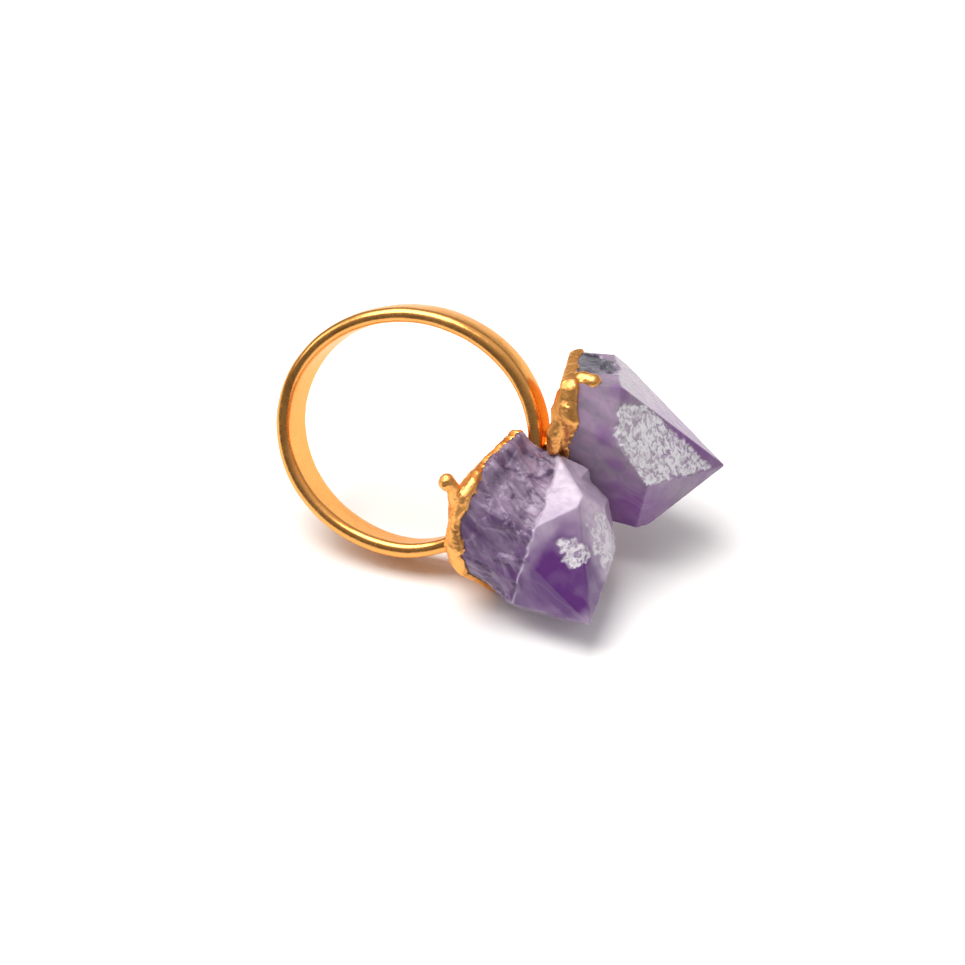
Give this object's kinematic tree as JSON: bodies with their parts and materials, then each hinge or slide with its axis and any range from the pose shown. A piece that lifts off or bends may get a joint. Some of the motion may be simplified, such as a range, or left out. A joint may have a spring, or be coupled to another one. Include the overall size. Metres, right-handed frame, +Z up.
{
  "type": "cocktail ring",
  "caption": "Open gold-plated finger ring whose bypass ends carry raw amethyst points in rough electroformed collars.",
  "frame": {"origin": "centre of the finger, on the axis of the band's back arc and in the band's middle plane", "axes": "+Z up from the surface the ring lies on; +X level, across the finger hole toward the stones; the finger runs in the YZ plane, tipped 30 degrees, because the ring lies leaning back on its band and front stone"},
  "size_m": [0.0335, 0.0205, 0.0187],
  "materials": {
    "polished_gold": "polished gold plate, lightly worn",
    "rough_gold": "rough electroformed gold plate, pitted and lumpy",
    "pad_brass": "plain sawn sheet",
    "solder": "flowed solder",
    "epoxy": "cured clear adhesive",
    "deep_amethyst": "translucent raw crystal, clear faces and rough fracture",
    "pale_amethyst": "translucent raw crystal, one face etched white"
  },
  "bodies": {
    "root": {"shank": "polished_gold", "front_pad": "pad_brass", "rear_pad": "pad_brass", "front_solder": "solder", "rear_solder": "solder", "front_glue": "epoxy", "rear_glue": "epoxy", "front_amethyst": "deep_amethyst", "rear_amethyst": "pale_amethyst", "front_collar": "rough_gold", "rear_collar": "rough_gold", "front_nodule": "rough_gold"}
  },
  "joints": []
}
